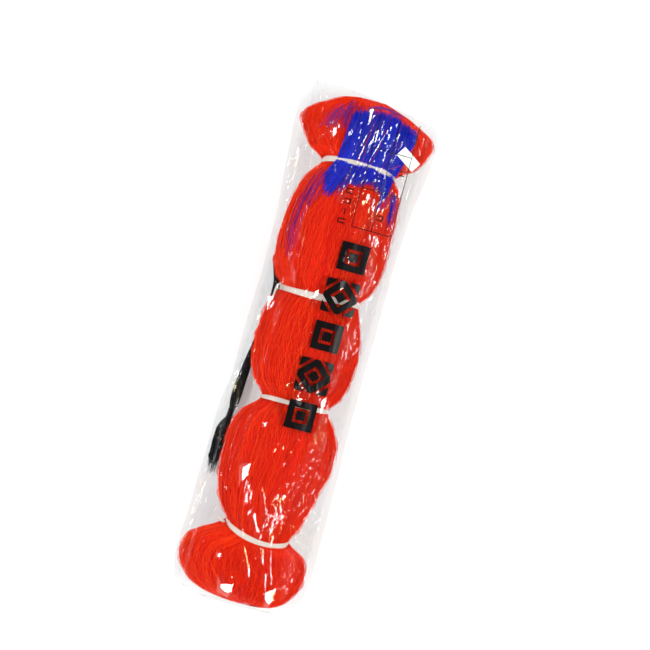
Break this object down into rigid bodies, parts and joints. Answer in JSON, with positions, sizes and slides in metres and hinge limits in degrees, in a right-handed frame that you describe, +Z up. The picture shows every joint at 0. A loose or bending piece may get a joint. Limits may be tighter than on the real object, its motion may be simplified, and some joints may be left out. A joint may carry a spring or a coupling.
{
  "type": "bagged garden netting bundle",
  "caption": "Long bundle of light knotted netting, tied with flat tape into five bunches, in a clear film bag with a hank of dark cord.",
  "frame": {"origin": "under the middle of the whole bag, on the surface that it lies on", "axes": "+Z up, +Y along the bundle towards the bag's open mouth, +X to the right seen from above with the mouth at the top"},
  "size_m": [0.18, 0.6441, 0.0759],
  "materials": {
    "netting": "fine drawn plastic yarn, satin, closed-up diamond mesh",
    "marker_yarn": "fine drawn plastic yarn, satin",
    "tape": "flat stretched tape with lengthwise grain, semi-matte",
    "paper": "thin uncoated paper, matte",
    "dark_cord": "two-ply twisted cord, dull",
    "clear_film": "thin clear glossy plastic film, wrinkled"
  },
  "bodies": {
    "bag": {"bag_front_film": "clear_film", "bag_back_film": "clear_film", "bag_bottom_seal": "clear_film"},
    "net": {"net_bunch_1": "netting", "net_bunch_2": "netting", "net_bunch_3": "netting", "net_bunch_4": "netting", "net_bunch_5": "netting", "net_waist_1": "netting", "net_waist_2": "netting", "net_waist_3": "netting", "net_waist_4": "netting", "tape_tie_1": "tape", "tape_tie_2": "tape", "tape_tie_3": "tape", "tape_tie_4": "tape", "tape_knot_1": "tape", "tape_knot_2": "tape", "tape_knot_3": "tape", "tape_knot_4": "tape", "marker_yarn_end": "marker_yarn", "marker_yarn_tails": "marker_yarn", "paper_tag": "paper"},
    "cord": {"cord_hank": "dark_cord", "cord_hank_wrap": "dark_cord"}
  },
  "joints": [
    {"name": "net_pull_out", "type": "slide", "parent": "bag", "child": "net", "axis": [0, 1, 0], "range_m": [0, 0.66]},
    {"name": "cord_pull_out", "type": "slide", "parent": "bag", "child": "cord", "axis": [0, 1, 0], "range_m": [0, 0.5]}
  ]
}
